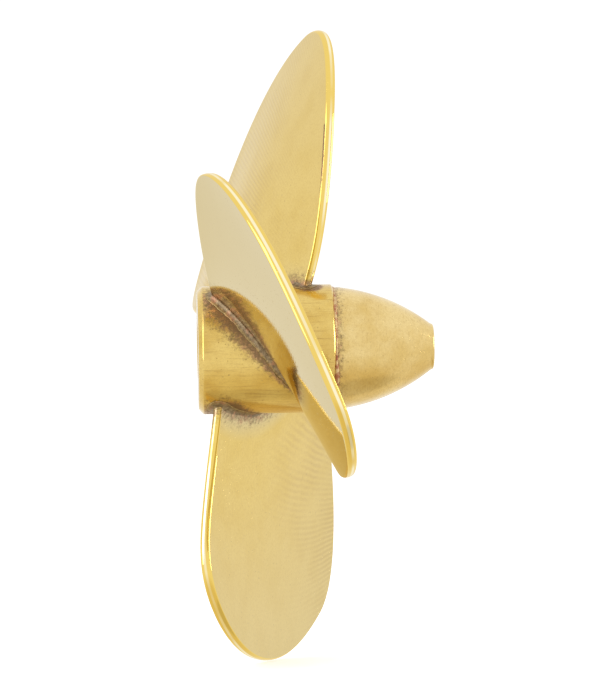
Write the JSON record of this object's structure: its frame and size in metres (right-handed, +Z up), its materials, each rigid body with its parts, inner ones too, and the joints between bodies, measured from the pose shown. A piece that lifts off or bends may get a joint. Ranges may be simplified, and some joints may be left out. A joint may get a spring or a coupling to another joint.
{
  "type": "boat propeller",
  "caption": "Right-hand brass screw propeller for a model boat: broad helical blades brazed onto a tapped hub with a tapered nose cone.",
  "frame": {"origin": "on the shaft axis, in the plane of the hub's shaft-side end face, at the mouth of the shaft bore", "axes": "+X along the shaft axis from the shaft side to the nose, +Z up with one blade pointing nearly along -Y, which is the side the picture was taken from"},
  "size_m": [0.0185, 0.0468, 0.0501],
  "materials": {
    "hub_brass": "turned and polished",
    "nose_brass": "turned and polished",
    "blade_brass": "milled faces, polished edges",
    "braze_alloy": "as-flowed, dull"
  },
  "bodies": {
    "root": {"hub_sleeve": "hub_brass", "nose_cone": "nose_brass", "nose_braze": "braze_alloy", "blade_1": "blade_brass", "root_braze_1": "braze_alloy", "blade_2": "blade_brass", "root_braze_2": "braze_alloy", "blade_3": "blade_brass", "root_braze_3": "braze_alloy"}
  },
  "joints": []
}
